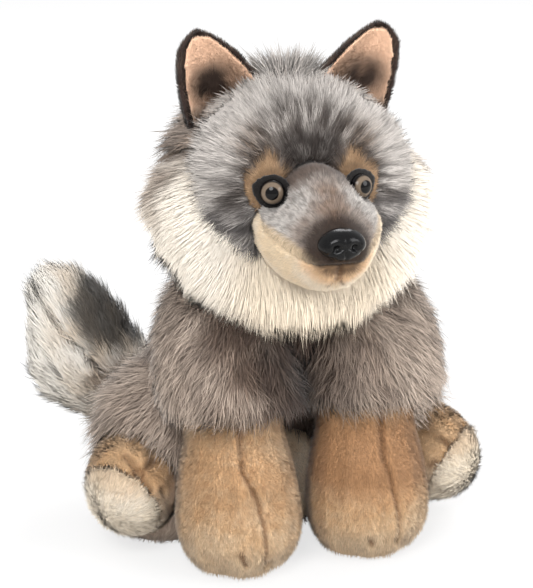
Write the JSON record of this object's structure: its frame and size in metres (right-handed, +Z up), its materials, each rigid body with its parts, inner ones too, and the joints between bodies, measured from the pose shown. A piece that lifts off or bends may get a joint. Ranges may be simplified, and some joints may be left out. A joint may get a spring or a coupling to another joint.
{
  "type": "plush wolf",
  "caption": "Sitting plush wolf with a long-pile ruff, sleeves and tail, short-plush paws, and moulded eyes and nose.",
  "frame": {"origin": "on the floor, under the middle of the wolf's flat seat", "axes": "+Z up; the wolf looks along -Y, and its left side is at +X"},
  "size_m": [0.2377, 0.2255, 0.274],
  "materials": {
    "taupe_long_pile": "long taupe pile with dark tips",
    "dark_long_pile": "dark brown long pile",
    "cream_long_pile": "cream long pile",
    "silver_pile": "silver pile with dark tips",
    "tan_short_plush": "short tan plush",
    "cream_short_plush": "short cream plush",
    "peach_short_plush": "short peach plush",
    "black_felt": "black felt",
    "black_moulding": "glossy black moulding",
    "brown_moulding": "glossy brown moulding with a black pupil",
    "white_moulding": "plain white moulding"
  },
  "bodies": {
    "root": {"torso": "taupe_long_pile", "head_back": "taupe_long_pile", "sleeve_left": "taupe_long_pile", "sleeve_right": "taupe_long_pile", "thigh_left": "taupe_long_pile", "thigh_right": "taupe_long_pile", "tail_top": "dark_long_pile", "ear_back_left": "dark_long_pile", "ear_back_right": "dark_long_pile", "cheek_ruff": "cream_long_pile", "tail_underside": "cream_long_pile", "face_mask": "silver_pile", "muzzle_bridge": "silver_pile", "belly_panel": "tan_short_plush", "fore_paw_left": "tan_short_plush", "fore_paw_right": "tan_short_plush", "hind_paw_left": "tan_short_plush", "hind_paw_right": "tan_short_plush", "muzzle_side_left": "tan_short_plush", "muzzle_side_right": "tan_short_plush", "eye_patch_left": "tan_short_plush", "eye_patch_right": "tan_short_plush", "hind_sole_left": "cream_short_plush", "hind_sole_right": "cream_short_plush", "ear_lining_left": "peach_short_plush", "ear_lining_right": "peach_short_plush", "eye_rim_left": "black_felt", "eye_rim_right": "black_felt", "nose": "black_moulding", "eye_left": "brown_moulding", "eye_right": "brown_moulding", "eye_washer_left": "white_moulding", "eye_washer_right": "white_moulding", "nose_washer": "white_moulding"}
  },
  "joints": []
}
